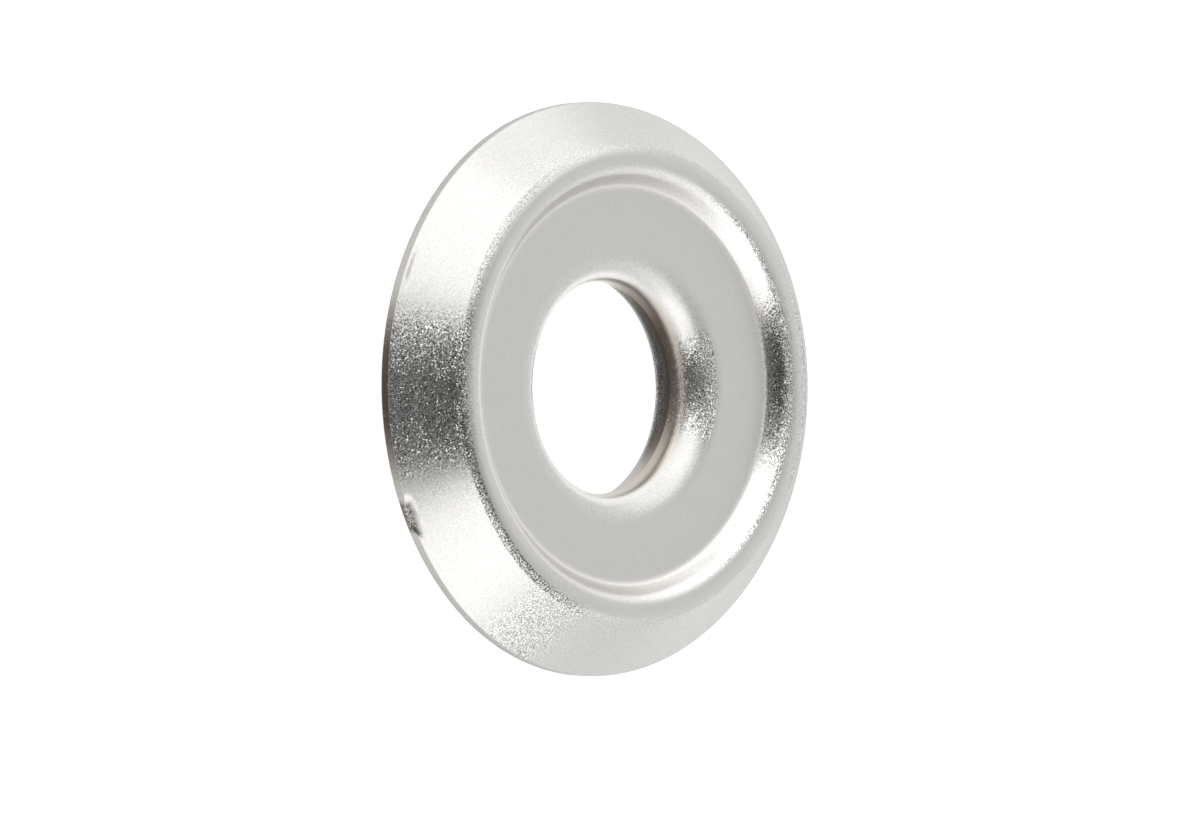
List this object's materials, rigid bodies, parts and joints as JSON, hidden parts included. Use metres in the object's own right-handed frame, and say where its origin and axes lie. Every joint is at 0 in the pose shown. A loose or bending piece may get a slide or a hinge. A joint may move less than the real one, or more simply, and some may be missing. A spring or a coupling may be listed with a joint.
{
  "type": "belleville washer",
  "caption": "Round dished spring washer of thin pressed steel, with a raised crest, a recessed flat web, a flared collar round the bore and a conical outer flange.",
  "frame": {"origin": "centre of the bore, in the plane of the collar's end, which the washer rests on", "axes": "+Z along the axis of the bore, towards the crest"},
  "size_m": [0.023, 0.023, 0.0037],
  "materials": {
    "washer": "bright plated pressed steel with a fine pebbled grain"
  },
  "bodies": {
    "root": {"washer": "washer"}
  },
  "joints": []
}
